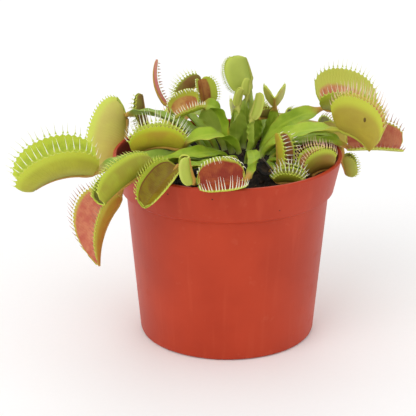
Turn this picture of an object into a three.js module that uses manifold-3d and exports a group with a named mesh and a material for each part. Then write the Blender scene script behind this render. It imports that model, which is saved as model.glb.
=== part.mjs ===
// A potted Venus flytrap: a round plastic nursery pot filled with peat, and a rosette of leaves
// round one rhizome. Each leaf is one grown piece: a winged stalk, a thin neck, and a trap of two
// lobes on a midrib with a fringe of teeth along both margins.
// Millimetres, +Z up. The origin is the middle of the pot's underside.
import * as THREE from "three";
import { mergeVertices } from "three/addons/utils/BufferGeometryUtils.js";
import Module from "manifold-3d";

const wasm = await Module();
wasm.setup();

// Pot, a common 9 cm round nursery pot
const POT_RIM_RADIUS = 45;
const POT_HEIGHT = 74;
const POT_WALL = 1.3;
const POT_FOOT_RADIUS = 35;
const LIP_HEIGHT = 14;
const LIP_STEP = 2;
const LIP_FLARE = 3;
const BASE_RAISE = 1.2;
const CENTRE_PAD_RADIUS = 9;
const FOOT_RING_INNER = 31;
const DRAIN_HOLES = 6;
const DRAIN_RADIUS = 3;
const DRAIN_CIRCLE = 20;
const POT_SIDES = 36;

// Peat and rhizome
const SOIL_TOP = 66;
const SOIL_SIDES = 22;
const SOIL_RELIEF = 0.7;
const CROWN = [5, 6];
const MOUND = 6;
const MOUND_SPREAD = 26;
const RHIZOME_RADIUS = 5.5;
const RHIZOME_TOP = 71.8;
const RHIZOME_BOTTOM = 56;
const GAP = 0.3;
const HOLE_ROOM = 0.75;

// Leaf stalk
const FOOT_RADIUS = 1.15;
const FOOT_DEPTH = 5;
const NECK_RADIUS = 0.95;
const BLADE_EDGE = 0.65;
const BLADE_RIB = 1.35;
const BLADE_FOLD = 0.28;
const NECK_RIB = 0.9;
const FOOT_LEAN = 0.35;
const NECK_REACH = 2.2;
const STALK_STOPS = [0, 0.25, 0.48, 0.66, 0.8, 0.92, 1];
const BLADE_WIDENS = [0.05, 0.55];
const BLADE_NARROWS = [0.8, 0.98];

// Trap lobes
const LOBE_SPINE_THICKNESS = 1.3;
const LOBE_THICKNESS = 0.85;
const LOBE_MARGIN_THICKNESS = 0.65;
const LOBE_END_SHARE = 0.34;
const TOOTH_TURN_IN = 22;
const TOOTH_SPAN = 0.94;
const TOOTH_WIDTH_SHARE = 0.4;
const TOOTH_ROOM = 0.4;
const TOOTH_ROOT = 0.6;
const TOOTH_POINT = 0.3;
const LOBE_SQUARENESS = 2.4;
const LARGE_TRAP_TEETH = 9;
const LARGE_TRAP_ROWS = [0.38, 0.76];
const SMALL_TRAP_ROWS = [0.6];
const SPINE_STOPS_A_TOOTH = 0.45;

const degrees = (a) => (a * Math.PI) / 180;
const mix = (a, b, t) => a + (b - a) * t;
const clamp01 = (t) => Math.min(1, Math.max(0, t));
const ease = (t) => clamp01(t) ** 2 * (3 - 2 * clamp01(t));
const slope = (t, [low, high]) => ease((t - low) / (high - low));
const vec = (x, y, z) => new THREE.Vector3(x, y, z);
const sum = (origin, ...terms) => {
  const out = origin.clone();
  for (const [direction, amount] of terms) out.addScaledVector(direction, amount);
  return out;
};

// How far a trap's two lobes stand from the way its mouth faces, in degrees, at the midrib and at
// the margin.
const SHUT = [50, -22];
const AJAR = [50, 6];
const OPEN = [68, 24];

// One row for each leaf. stand is where its foot is round the crown: degrees and distance. neck and
// tip are the two ends of the trap's midrib, mouth the way the trap opens, lobe the lobes' height,
// ends the share of it left at a pointed trap's ends, arch the midrib's bend in degrees, lean how
// far the lobes lean back over the neck and on past the tip, teeth how many each lobe has and tooth
// their length. blade is the stalk's widest width, twist its roll half way in degrees, rise how far
// it runs up from the foot, and via the point that pulls it over on its way to the neck.
const LEAVES = [
  { name: "leaf_far_left", stand: [202, 12.5], neck: [-52, -22, 72], tip: [-74, -26, 67],
    mouth: [0, -0.12, 1], lobe: 16.6, gape: AJAR, arch: 50, lean: [14, 30],
    teeth: 14, tooth: 6.4, blade: 8, twist: 15, rise: 4, via: [-40, -23, 80.4] },
  { name: "leaf_left_heart", stand: [173, 12.5], neck: [-41.2, 24.5, 81.4], tip: [-44, 18.5, 62.9],
    mouth: [-1, 0.2, 0.1], lobe: 16.6, gape: SHUT, arch: -24, lean: [72, 42],
    teeth: 12, tooth: 3, blade: 7, twist: 0, rise: 14, via: [-32, 11, 91] },
  { name: "leaf_left_slim", stand: [163, 17], neck: [-32.5, 26, 75], tip: [-34.6, 27.5, 89.5],
    mouth: [-1, -0.3, 0], lobe: 4.6, gape: SHUT, arch: 10, lean: [20, 20],
    teeth: 6, tooth: 3, blade: 5, twist: 0, rise: 5, via: [-28, 23, 73.5] },
  { name: "leaf_left_near", stand: [262, 3.2], neck: [-19, -7, 77.6], tip: [-35.4, -7, 75.8],
    mouth: [-0.1, 0.17, 1], lobe: 10.6, gape: AJAR, arch: 50, lean: [28, 14],
    teeth: 13, tooth: 7, blade: 9, twist: 22, rise: 9, via: [-9, -5, 86] },
  { name: "leaf_left_long", stand: [231, 8.5], neck: [-28.4, -30, 77.6], tip: [-45.4, -52.8, 71.2],
    mouth: [-0.75, 0.1, 0.65], lobe: 9.6, gape: SHUT, arch: 16, lean: [14, 14],
    teeth: 16, tooth: 2.6, blade: 8, twist: 28, rise: 6, via: [-18, -19.5, 79] },
  { name: "leaf_front_left", stand: [258, 8.5], neck: [-19.2, -29.8, 78], tip: [-31, -50, 69],
    mouth: [-0.35, -0.85, 0.45], lobe: 8.3, ends: 0.06, gape: OPEN, arch: 20, lean: [-2, 12],
    teeth: 12, tooth: 3, blade: 5, twist: 0, rise: 5, via: [-6.3, -23, 75] },
  { name: "leaf_front_pod", stand: [262, 12.5], neck: [-13.2, -42.4, 76], tip: [-14.8, -47.7, 87.6],
    mouth: [-1, 0, 0], lobe: 4.2, gape: SHUT, arch: 12, lean: [10, 10],
    teeth: 0, tooth: 0, blade: 3, twist: 0, rise: 3, via: [-13, -36, 72.4] },
  { name: "leaf_front_red", stand: [287, 8.5], neck: [6, -40, 76], tip: [-11, -43, 75.2],
    mouth: [-0.1, -0.7, 0.75], lobe: 9.6, ends: 0.06, gape: OPEN, arch: 12, lean: [8, 15],
    teeth: 14, tooth: 7.8, blade: 5, twist: 0, rise: 12, via: [13, -30, 79] },
  { name: "leaf_front_dead", stand: [288, 12.5], neck: [16.4, -23.6, 73.7], tip: [13.4, -20.1, 76.7],
    mouth: [-0.6, -0.8, 0.3], lobe: 4, gape: AJAR, arch: 10, lean: [20, 20],
    teeth: 0, tooth: 0, blade: 4, twist: 0, rise: 4, via: [16, -22, 74] },
  { name: "leaf_front_low", stand: [305, 12.5], neck: [19, -25.5, 70.4], tip: [27.3, -27.2, 70],
    mouth: [0, -0.1, 1], lobe: 6, gape: AJAR, arch: 45, lean: [28, 28],
    teeth: 9, tooth: 4.5, blade: 3, twist: 0, rise: 5.5, via: [16, -21, 71] },
  { name: "leaf_right_stand", stand: [322, 12.5], neck: [19.6, -12.6, 69], tip: [18.6, -8.8, 83.6],
    mouth: [0.8, -0.6, 0.1], lobe: 7, gape: AJAR, arch: 20, lean: [20, 20],
    teeth: 9, tooth: 4, blade: 4.2, twist: 0, rise: 4, via: [19.4, -13.2, 67.5] },
  { name: "leaf_right_round", stand: [339, 12.5], neck: [31.4, -17.8, 70.5], tip: [39.3, -14.8, 72.2],
    mouth: [0, 0.2, 1], lobe: 10.5, gape: AJAR, arch: 40, lean: [14, 14],
    teeth: 12, tooth: 4.6, blade: 4.4, twist: 0, rise: 3, via: [29, -9, 72] },
  { name: "leaf_far_right", stand: [347, 8.5], neck: [43.3, -6, 85], tip: [55, -10, 77.5],
    mouth: [0.5, 0.1, 0.85], lobe: 18.8, gape: AJAR, arch: 45, lean: [34, -20],
    teeth: 15, tooth: 6.6, blade: 9, twist: -25, rise: 10, via: [30, -3, 84.5] },
  { name: "leaf_far_right_top", stand: [15, 8.5], neck: [38.8, 22, 85.4], tip: [56.6, 28, 74.6],
    mouth: [0.6, -0.15, 0.75], lobe: 19, gape: AJAR, arch: 45, lean: [35, -15],
    teeth: 14, tooth: 5, blade: 8, twist: -25, rise: 12, via: [27, 15.4, 83.2] },
  { name: "leaf_right_red", stand: [356, 12.5], neck: [48.6, 8, 73], tip: [68.6, 7, 73],
    mouth: [0, -0.42, 0.91], lobe: 11, gape: OPEN, arch: 20, lean: [20, 20],
    teeth: 12, tooth: 5, blade: 5, twist: 0, rise: 6, via: [38, 4, 81] },
  { name: "leaf_right_old", stand: [12, 12.5], neck: [46.5, 15, 66.5], tip: [48.6, 17, 58.8],
    mouth: [1, 0, 0], lobe: 6, gape: SHUT, arch: 10, lean: [20, 20],
    teeth: 6, tooth: 1.5, blade: 5, twist: 0, rise: 6, via: [47.2, 11, 86] },
  { name: "leaf_top_tall", stand: [105, 8.5], neck: [9.4, 26.5, 95.5], tip: [7.2, 28, 104.8],
    mouth: [-1, 0, 0.2], lobe: 11.2, gape: SHUT, arch: -10, lean: [45, 25],
    teeth: 12, tooth: 2, blade: 10, twist: 0, rise: 8, via: [9, 25, 84] },
  { name: "leaf_young_front", stand: [115, 3.2], neck: [4.2, 10, 90], tip: [6, 10, 96.6],
    mouth: [-1, 0, 0], lobe: 2.6, gape: SHUT, arch: 10, lean: [10, 10],
    teeth: 0, tooth: 0, blade: 9, twist: 0, rise: 8, via: [4, 9, 84] },
  { name: "leaf_young_back", stand: [80, 8.5], neck: [8, 15, 93], tip: [8.5, 16, 99],
    mouth: [-1, 0, 0], lobe: 2.6, gape: SHUT, arch: 10, lean: [10, 10],
    teeth: 0, tooth: 0, blade: 6, twist: 0, rise: 8, via: [7.6, 15.5, 86] },
  { name: "leaf_top_folded", stand: [350, 3.2], neck: [9.5, 9, 85], tip: [12, 12, 94.5],
    mouth: [1, 0, 0], lobe: 3.5, gape: SHUT, arch: 10, lean: [10, 10],
    teeth: 0, tooth: 0, blade: 8, twist: 0, rise: 6, via: [9, 8, 80] },
  { name: "leaf_top_right_open", stand: [46, 12.5], neck: [19, 17.4, 87.5], tip: [18.8, 13.4, 92.5],
    mouth: [0, 0.6, 0.8], lobe: 8, gape: [45, 15], arch: 10, lean: [15, 15],
    teeth: 6, tooth: 1.8, blade: 4, twist: 0, rise: 6, via: [19.4, 17.6, 82.5] },
  { name: "leaf_top_right_olive", stand: [58, 8.5], neck: [12.5, 18, 83], tip: [19, 22, 81],
    mouth: [0, 0, 1], lobe: 5, gape: SHUT, arch: 20, lean: [25, 25],
    teeth: 6, tooth: 1.5, blade: 7, twist: 0, rise: 6, via: [12.6, 16.5, 79] },
  { name: "leaf_top_red", stand: [133, 8.5], neck: [-9, 17.8, 88.5], tip: [-10.8, 19.5, 98],
    mouth: [0.5, -0.85, 0.2], lobe: 6.5, gape: OPEN, arch: 20, lean: [20, 20],
    teeth: 8, tooth: 2.5, blade: 10, twist: 0, rise: 11, via: [-8, 17.5, 81] },
  { name: "leaf_top_left_olive", stand: [136, 12.5], neck: [-18.7, 27, 86.6], tip: [-10.6, 30, 94.6],
    mouth: [-0.5, 0.35, 0.8], lobe: 6.5, gape: AJAR, arch: 20, lean: [20, 20],
    teeth: 8, tooth: 4, blade: 6, twist: 0, rise: 8, via: [-15.5, 23.5, 80] },
  { name: "leaf_top_left_small", stand: [200, 3.2], neck: [-11.5, 8, 90.2], tip: [-20.3, 5.6, 87.3],
    mouth: [-0.1, -0.55, 0.83], lobe: 8.4, gape: [80, -5], arch: 40, lean: [20, 20],
    teeth: 10, tooth: 3, blade: 9, twist: 0, rise: 14, via: [-1, 7, 92] },
  { name: "leaf_top_left_thin", stand: [154, 12.5], neck: [-23.5, 20, 87], tip: [-28, 24, 105],
    mouth: [1, 0, -0.1], lobe: 1.3, gape: SHUT, arch: -66, lean: [10, 10],
    teeth: 9, tooth: 2, blade: 6, twist: 0, rise: 8, via: [-19, 16, 80] },
  { name: "leaf_left_hanging", stand: [220, 12.5], neck: [-40.5, -35.3, 66.5], tip: [-48.5, -42.5, 43],
    mouth: [-0.9, -0.41, 0.06], lobe: 16.7, ends: 0.1, gape: OPEN, arch: 46, lean: [14, -50],
    teeth: 14, tooth: 4, blade: 5, twist: 0, rise: 3, via: [-42, -30.6, 86.4] },
  { name: "leaf_dead_strip", stand: [240, 12.5], neck: [-15, -24, 73.2], tip: [-19, -26, 73.2],
    mouth: [0, 0, 1], lobe: 2.5, gape: SHUT, arch: 10, lean: [10, 10],
    teeth: 0, tooth: 0, blade: 8, twist: 0, rise: 3, via: [-10, -18, 73] },
  { name: "leaf_back_left", stand: [119, 12.5], neck: [-15, 44, 76.5], tip: [-22, 57, 61],
    mouth: [-0.2, 0.7, 0.7], lobe: 10, gape: AJAR, arch: 40, lean: [5, 28],
    teeth: 6, tooth: 4, blade: 7, twist: 0, rise: 7, via: [-11, 33, 84] },
  { name: "leaf_back_middle", stand: [86, 12.5], neck: [8, 47, 76.5], tip: [10, 61, 60],
    mouth: [0.1, 0.7, 0.7], lobe: 11, gape: OPEN, arch: 40, lean: [5, 28],
    teeth: 6, tooth: 4, blade: 8, twist: 0, rise: 7, via: [7, 34, 84] },
  { name: "leaf_back_right", stand: [66, 12.5], neck: [25, 41, 76], tip: [31, 52, 60],
    mouth: [0.5, 0.8, 0.2], lobe: 8.5, gape: SHUT, arch: 40, lean: [-20, 28],
    teeth: 8, tooth: 4, blade: 7, twist: 0, rise: 7, via: [19, 32, 81.5] },
  { name: "leaf_right_back", stand: [29, 12.5], neck: [38, 32, 75.5], tip: [46, 43, 62],
    mouth: [0.6, 0.4, 0.6], lobe: 7.5, gape: AJAR, arch: 30, lean: [-15, 28],
    teeth: 7, tooth: 3.5, blade: 6, twist: 0, rise: 5, via: [28, 26, 80] },
  { name: "leaf_back_low", stand: [103, 12.5], neck: [-3, 31, 73], tip: [-7, 39, 71],
    mouth: [0, 0, 1], lobe: 5, gape: AJAR, arch: 30, lean: [28, 28],
    teeth: 6, tooth: 2.5, blade: 4, twist: 0, rise: 3, via: [-1, 26, 74] },
];

// A closed body from rings of points that have the same count, with a fan over each end.
function loft(rings) {
  const sides = rings[0].length;
  const points = rings.flat();
  const index = [];
  for (let r = 0; r + 1 < rings.length; r++)
    for (let i = 0; i < sides; i++) {
      const a = r * sides + i;
      const b = r * sides + ((i + 1) % sides);
      index.push(a, b, b + sides, a, b + sides, a + sides);
    }
  const last = (rings.length - 1) * sides;
  for (let i = 1; i + 1 < sides; i++) {
    index.push(0, i + 1, i);
    index.push(last, last + i, last + i + 1);
  }
  return geometryOf(points, index);
}

function geometryOf(points, index) {
  const geometry = new THREE.BufferGeometry().setFromPoints(points);
  geometry.setIndex(index);
  return geometry;
}

// A three.js geometry as a manifold-3d solid, turned right side out.
function solidOf(geometry) {
  const bare = new THREE.BufferGeometry().setAttribute("position", geometry.getAttribute("position"));
  bare.setIndex(geometry.index);
  const merged = mergeVertices(bare, 1e-4);
  const vertProperties = merged.attributes.position.array;
  const triVerts = new Uint32Array(merged.index.array);
  const make = () => new wasm.Manifold(new wasm.Mesh({ numProp: 3, vertProperties, triVerts }));
  const solid = make();
  if (solid.volume() > 0) return solid;
  for (let i = 0; i < triVerts.length; i += 3)
    [triVerts[i + 1], triVerts[i + 2]] = [triVerts[i + 2], triVerts[i + 1]];
  return make();
}

function geometryOfSolid(solid) {
  const { vertProperties, triVerts } = solid.getMesh();
  const geometry = new THREE.BufferGeometry();
  geometry.setAttribute("position", new THREE.BufferAttribute(vertProperties, 3));
  geometry.setIndex(new THREE.BufferAttribute(triVerts, 1));
  return geometry;
}

// Pot: one lathe for the wall, lip, foot ring and centre pad, with round drain holes in the raised
// ring between them.
function wallRadius(z) {
  const top = POT_RIM_RADIUS - LIP_FLARE - LIP_STEP;
  return mix(POT_FOOT_RADIUS, top, z / (POT_HEIGHT - LIP_HEIGHT));
}

function potSolid() {
  const lipFoot = POT_HEIGHT - LIP_HEIGHT;
  const bodyTop = wallRadius(lipFoot);
  const lipLow = bodyTop + LIP_STEP;
  const profile = [
    [0, 0],
    [CENTRE_PAD_RADIUS, 0],
    [CENTRE_PAD_RADIUS + 1, BASE_RAISE],
    [FOOT_RING_INNER - 1, BASE_RAISE],
    [FOOT_RING_INNER, 0],
    [POT_FOOT_RADIUS - 1.3, 0],
    [POT_FOOT_RADIUS, 1.6],
    [bodyTop, lipFoot - 1.4],
    [lipLow, lipFoot],
    [POT_RIM_RADIUS, POT_HEIGHT - 0.8],
    [POT_RIM_RADIUS - 0.3, POT_HEIGHT],
    [POT_RIM_RADIUS - POT_WALL, POT_HEIGHT],
    [lipLow - POT_WALL, lipFoot + 1],
    [bodyTop - POT_WALL, lipFoot - 1],
    [POT_FOOT_RADIUS - POT_WALL, BASE_RAISE + POT_WALL],
    [0, BASE_RAISE + POT_WALL],
  ].map(([r, z]) => new THREE.Vector2(r, z));
  let pot = solidOf(upright(new THREE.LatheGeometry(profile, POT_SIDES)));
  for (let i = 0; i < DRAIN_HOLES; i++) {
    const turn = degrees(30 + (360 / DRAIN_HOLES) * i);
    const hole = upright(new THREE.CylinderGeometry(DRAIN_RADIUS, DRAIN_RADIUS, 12, 8));
    hole.translate(DRAIN_CIRCLE * Math.cos(turn), DRAIN_CIRCLE * Math.sin(turn), 0);
    pot = pot.subtract(solidOf(hole));
  }
  return pot;
}

// three.js turns lathes and cylinders about +Y, and the part's own axis is +Z.
function upright(geometry) {
  return geometry.rotateX(Math.PI / 2);
}

// The peat's height: level 8 mm under the rim, heaped round the crown, with low lumps that follow
// crossed waves.
function groundAt(x, y) {
  const heap = MOUND * ease(1 - Math.hypot(x - CROWN[0], y - CROWN[1]) / MOUND_SPREAD);
  const lump = Math.sin(0.31 * x + 1.3) * Math.cos(0.27 * y) + 0.6 * Math.sin(0.63 * x - 0.52 * y);
  return SOIL_TOP + heap + SOIL_RELIEF * lump;
}

function soilSolid() {
  const wall = (z) => wallRadius(z) - POT_WALL - GAP;
  const bottom = BASE_RAISE + POT_WALL + GAP;
  const profile = [
    [0, bottom],
    [wall(bottom) - 0.2, bottom],
    [wall(POT_HEIGHT - LIP_HEIGHT - 2), POT_HEIGHT - LIP_HEIGHT - 2],
    [wall(POT_HEIGHT - LIP_HEIGHT) + 0.8, SOIL_TOP - 0.6],
    ...[33, 25, 16, 8, 0].map((r) => [r, SOIL_TOP]),
  ].map(([r, z]) => new THREE.Vector2(r, z));
  const geometry = upright(new THREE.LatheGeometry(profile, SOIL_SIDES));
  const place = geometry.getAttribute("position");
  for (let i = 0; i < place.count; i++) {
    if (place.getZ(i) < SOIL_TOP - 0.1) continue;
    const [x, y] = [place.getX(i), place.getY(i)];
    place.setZ(i, groundAt(x, y));
  }
  return solidOf(geometry);
}

function rhizomeSolid() {
  const middle = (RHIZOME_TOP + RHIZOME_BOTTOM) / 2;
  const profile = [
    [0, RHIZOME_BOTTOM],
    [RHIZOME_RADIUS * 0.6, RHIZOME_BOTTOM + 1.5],
    [RHIZOME_RADIUS, middle],
    [RHIZOME_RADIUS * 0.95, RHIZOME_TOP - 2],
    [RHIZOME_RADIUS * 0.7, RHIZOME_TOP - 0.4],
    [0, RHIZOME_TOP],
  ].map(([r, z]) => new THREE.Vector2(r, z));
  return solidOf(upright(new THREE.LatheGeometry(profile, 12)).translate(CROWN[0], CROWN[1], 0));
}

// The trap's own axes: along the chord from neck to tip, out of the mouth, and across.
function trapFrame(leaf) {
  const neck = vec(...leaf.neck);
  const chord = vec(...leaf.tip).sub(neck);
  const along = chord.clone().normalize();
  const mouth = vec(...leaf.mouth);
  mouth.addScaledVector(along, -mouth.dot(along)).normalize();
  const across = along.clone().cross(mouth);
  const bend = degrees(leaf.arch);
  const length = (chord.length() * bend) / 2 / Math.sin(bend / 2);
  return { neck, along, mouth, across, bend, length };
}

// A point of the arched midrib, u from 0 at the neck to 1 at the tip, with its own directions.
function spineAt(frame, u) {
  const { neck, along, mouth, bend, length } = frame;
  const radius = length / bend;
  const turn = bend / 2 - bend * u;
  const point = sum(neck,
    [along, radius * (Math.sin(bend / 2) - Math.sin(turn))],
    [mouth, radius * (Math.cos(turn) - Math.cos(bend / 2))]);
  const ahead = sum(along.clone().multiplyScalar(Math.cos(turn)), [mouth, Math.sin(turn)]);
  const out = sum(mouth.clone().multiplyScalar(Math.cos(turn)), [along, -Math.sin(turn)]);
  return { point, ahead, out };
}

// A point of a lobe, v from 0 at the midrib to 1 at the margin. Each lobe is a fan of arcs that
// leans back over the neck at one end and ahead of the tip at the other.
function lobeAt(leaf, frame, u, v, side) {
  const { point, ahead, out } = spineAt(frame, u);
  const lean = degrees(mix(-leaf.lean[0], leaf.lean[1], u));
  const rise = sum(out.multiplyScalar(Math.cos(lean)), [ahead, Math.sin(lean)]);
  const round = Math.sqrt(Math.max(0, 1 - Math.abs(2 * u - 1) ** LOBE_SQUARENESS));
  const height = leaf.lobe * mix(leaf.ends ?? LOBE_END_SHARE, 1, round);
  const start = degrees(leaf.gape[0]);
  const turn = degrees(leaf.gape[1] - leaf.gape[0]);
  const angle = start + turn * v;
  const inner = sum(point,
    [rise, (height * (Math.sin(angle) - Math.sin(start))) / turn],
    [frame.across, (side * height * (Math.cos(start) - Math.cos(angle))) / turn]);
  const thickness = v === 0 ? LOBE_SPINE_THICKNESS
    : mix(LOBE_THICKNESS, LOBE_MARGIN_THICKNESS, v);
  const back = v === 0 ? rise.clone().negate()
    : sum(rise.clone().multiplyScalar(-Math.sin(angle)), [frame.across, side * Math.cos(angle)]);
  const tooth = angle - degrees(TOOTH_TURN_IN);
  const toothway = sum(rise.clone().multiplyScalar(Math.cos(tooth)),
    [frame.across, side * Math.sin(tooth)]);
  return { inner, outer: sum(inner, [back, thickness]), toothway };
}

const evenStops = (count) => Array.from({ length: count + 1 }, (_, i) => i / count);

// Where the margin's row of points lies: two for each tooth, one before and one after it.
function marginStops(teeth) {
  if (teeth === 0) return evenStops(5);
  const stops = [0];
  const pitch = TOOTH_SPAN / teeth;
  const half = (TOOTH_WIDTH_SHARE * pitch) / 2;
  for (let k = 0; k < teeth; k++) {
    const middle = (1 - TOOTH_SPAN) / 2 + (k + 0.5) * pitch;
    stops.push(middle - half, middle + half);
  }
  return [...stops, 1];
}

// The trap as one closed sheet, from one margin over the midrib to the other. Every tooth is a
// spike raised on the margin's own edge, where wanted(leaf, root, top) allows it.
function trapGeometry(leaf, frame, wanted) {
  const inside = evenStops(Math.max(5, Math.round(leaf.teeth * SPINE_STOPS_A_TOOTH)));
  const between = leaf.teeth > LARGE_TRAP_TEETH ? LARGE_TRAP_ROWS : SMALL_TRAP_ROWS;
  const rows = [
    { v: 0, stops: inside },
    ...between.map((v) => ({ v, stops: inside })),
    { v: 1, stops: marginStops(leaf.teeth) },
  ];
  const points = [];
  const index = [];
  const add = (point) => points.push(point) - 1;
  const face = (a, b, c, turned) => index.push(...(turned ? [a, c, b] : [a, b, c]));
  const quad = (a, b, c, d, turned) => {
    face(a, b, c, turned);
    face(a, c, d, turned);
  };
  const spine = rows[0].stops.map((u) => {
    const { inner, outer } = lobeAt(leaf, frame, u, 0, 1);
    return { inner: add(inner), outer: add(outer) };
  });
  for (const side of [1, -1]) {
    const flip = side < 0;
    const grid = rows.map(({ v, stops }) => v === 0 ? spine : stops.map((u) => {
      const at = lobeAt(leaf, frame, u, v, side);
      return { inner: add(at.inner), outer: add(at.outer) };
    }));
    for (let r = 0; r + 1 < rows.length; r++) {
      let [i, j] = [0, 0];
      const [low, high] = [rows[r].stops, rows[r + 1].stops];
      while (i + 1 < low.length || j + 1 < high.length) {
        const lowNext = j + 1 >= high.length || (i + 1 < low.length && low[i + 1] <= high[j + 1]);
        const third = lowNext ? grid[r][i + 1] : grid[r + 1][j + 1];
        face(grid[r][i].inner, grid[r + 1][j].inner, third.inner, flip);
        face(grid[r][i].outer, third.outer, grid[r + 1][j].outer, flip);
        if (lowNext) i++;
        else j++;
      }
      const ends = [[0, 0, !flip], [low.length - 1, high.length - 1, flip]];
      for (const [a, b, turned] of ends)
        quad(grid[r][a].inner, grid[r + 1][b].inner, grid[r + 1][b].outer, grid[r][a].outer, turned);
    }
    const rim = grid[rows.length - 1];
    const stops = rows[rows.length - 1].stops;
    for (let i = 0; i + 1 < rim.length; i++) {
      const loop = [rim[i].inner, rim[i].outer, rim[i + 1].outer, rim[i + 1].inner];
      const u = (stops[i] + stops[i + 1]) / 2;
      const at = lobeAt(leaf, frame, u, 1, side);
      const length = leaf.tooth * (0.5 + 0.5 * Math.sin(Math.PI * u));
      const top = sum(at.inner, [at.toothway, length]);
      if (leaf.teeth && i % 2 === 1 && wanted(leaf, at.inner, top)) {
        const apex = add(top);
        loop.forEach((corner, n) => face(corner, loop[(n + 1) % 4], apex, flip));
      } else quad(...loop, flip);
    }
  }
  return geometryOf(points, index);
}

// The stalk: a round foot in the peat, a blade that widens towards the trap with a rib below and
// its wings raised, and a thin round neck that runs on into the trap's midrib.
function stalkGeometry(leaf, frame) {
  const turn = degrees(leaf.stand[0]);
  const radial = vec(Math.cos(turn), Math.sin(turn), 0);
  const foot = footOf(leaf);
  const p1 = sum(foot, [vec(0, 0, 1), leaf.rise], [radial, leaf.rise * FOOT_LEAN]);
  const curve = new THREE.CubicBezierCurve3(foot, p1, vec(...leaf.via), frame.neck);
  const tangential = vec(Math.sin(turn), -Math.cos(turn), 0);
  const acrossEnd = frame.across.dot(tangential) < 0 ? frame.across.clone().negate() : frame.across;
  const ring = (centre, ahead, t, half, fold) => {
    let across = tangential.clone().lerp(acrossEnd, ease(t * t));
    across.addScaledVector(ahead, -across.dot(ahead)).normalize();
    let up = across.clone().cross(ahead);
    const roll = degrees(leaf.twist) * Math.sin(Math.PI * t);
    [across, up] = [across.clone().multiplyScalar(Math.cos(roll)).addScaledVector(up, Math.sin(roll)),
      up.clone().multiplyScalar(Math.cos(roll)).addScaledVector(across, -Math.sin(roll))];
    const raise = half * fold;
    const slim = Math.min(1, (half - NECK_RADIUS) / 2);
    const bulge = mix(NECK_RIB, 0, slim);
    return [
      sum(centre, [across, -half], [up, raise + BLADE_EDGE / 2]),
      sum(centre, [up, bulge]),
      sum(centre, [across, half], [up, raise + BLADE_EDGE / 2]),
      sum(centre, [across, half], [up, raise - BLADE_EDGE / 2]),
      sum(centre, [up, -mix(NECK_RIB, BLADE_RIB, slim)]),
      sum(centre, [across, -half], [up, raise - BLADE_EDGE / 2]),
    ];
  };
  const rings = [ring(sum(foot, [vec(0, 0, 1), -FOOT_DEPTH]), vec(0, 0, 1), 0, FOOT_RADIUS, 0)];
  for (const t of STALK_STOPS) {
    const spread = slope(t, BLADE_WIDENS) * (1 - slope(t, BLADE_NARROWS));
    const half = mix(mix(FOOT_RADIUS, NECK_RADIUS, t), leaf.blade / 2, spread);
    rings.push(ring(curve.getPoint(t), curve.getTangent(t), t, half, BLADE_FOLD * spread));
  }
  const sunk = spineAt(frame, NECK_REACH / frame.length);
  rings.push(ring(sum(sunk.point, [sunk.out, -0.5]), sunk.ahead, 1, NECK_RADIUS * 0.7, 0));
  return loft(rings);
}

function footOf(leaf) {
  const turn = degrees(leaf.stand[0]);
  const x = CROWN[0] + leaf.stand[1] * Math.cos(turn);
  const y = CROWN[1] + leaf.stand[1] * Math.sin(turn);
  return vec(x, y, groundAt(x, y));
}

function leafSolid(leaf, wanted) {
  const frame = trapFrame(leaf);
  const trap = solidOf(trapGeometry(leaf, frame, wanted));
  return trap.add(solidOf(stalkGeometry(leaf, frame)));
}

// A plain hole for a leaf's foot, to cut from what it stands in.
function footHole(leaf) {
  const foot = footOf(leaf);
  const radius = FOOT_RADIUS + HOLE_ROOM;
  const hole = upright(new THREE.CylinderGeometry(radius, radius, 2 * FOOT_DEPTH + 2 * GAP, 6));
  return solidOf(hole.translate(foot.x, foot.y, foot.z));
}

const material = (color, roughness) => new THREE.MeshStandardMaterial({ color, roughness, metalness: 0 });
const potPlastic = material(0xb8432b, 0.45);
const peat = material(0x1d1611, 0.95);
const paleRhizome = material(0xc9cf95, 0.6);
const greenLeaf = material(0x93b23a, 0.5);

const plant = new THREE.Group();
const pot = new THREE.Group();

function addMesh(group, name, solid, look, place = vec(0, 0, 0)) {
  const geometry = geometryOfSolid(solid).translate(-place.x, -place.y, -place.z);
  const mesh = new THREE.Mesh(geometry, look);
  mesh.name = name;
  mesh.position.copy(place);
  group.add(mesh);
}

const bare = new Map(LEAVES.map((leaf) => [leaf.name, leafSolid(leaf, () => false)]));
const grown = new Map();

// A tooth is left out where it would touch a leaf that is already grown, or the bare form of one
// that is still to come.
function toothIsClear(leaf, root, top) {
  const way = top.clone().sub(root).normalize();
  const sideways = Math.abs(way.z) < 0.9 ? vec(0, 0, 1).cross(way).normalize() : vec(1, 0, 0);
  const third = way.clone().cross(sideways);
  const ring = (centre, radius) => [0, 120, 240].map((turn) => sum(centre,
    [sideways, radius * Math.cos(degrees(turn))], [third, radius * Math.sin(degrees(turn))]));
  const start = sum(root, [way, TOOTH_ROOM]);
  const end = sum(top, [way, TOOTH_ROOM]);
  const probe = solidOf(loft([ring(start, TOOTH_ROOT), ring(end, TOOTH_POINT)]));
  return LEAVES.every((other) => {
    if (other === leaf) return true;
    const body = grown.get(other.name) ?? bare.get(other.name);
    return probe.intersect(body).volume() < 1e-4;
  });
}

for (const leaf of LEAVES) grown.set(leaf.name, leafSolid(leaf, toothIsClear));

let soil = soilSolid();
let rhizome = rhizomeSolid();
soil = soil.subtract(solidOf(upright(new THREE.CylinderGeometry(
  RHIZOME_RADIUS + GAP, RHIZOME_RADIUS + GAP, 40, 12))
  .translate(CROWN[0], CROWN[1], RHIZOME_BOTTOM - GAP + 20)));
for (const leaf of LEAVES) {
  const hole = footHole(leaf);
  if (leaf.stand[1] < RHIZOME_RADIUS) rhizome = rhizome.subtract(hole);
  else soil = soil.subtract(hole);
}

addMesh(pot, "pot", potSolid(), potPlastic);
addMesh(pot, "peat", soil, peat);
addMesh(plant, "rhizome", rhizome, paleRhizome);
for (const leaf of LEAVES) addMesh(plant, leaf.name, grown.get(leaf.name), greenLeaf, footOf(leaf));

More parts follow.
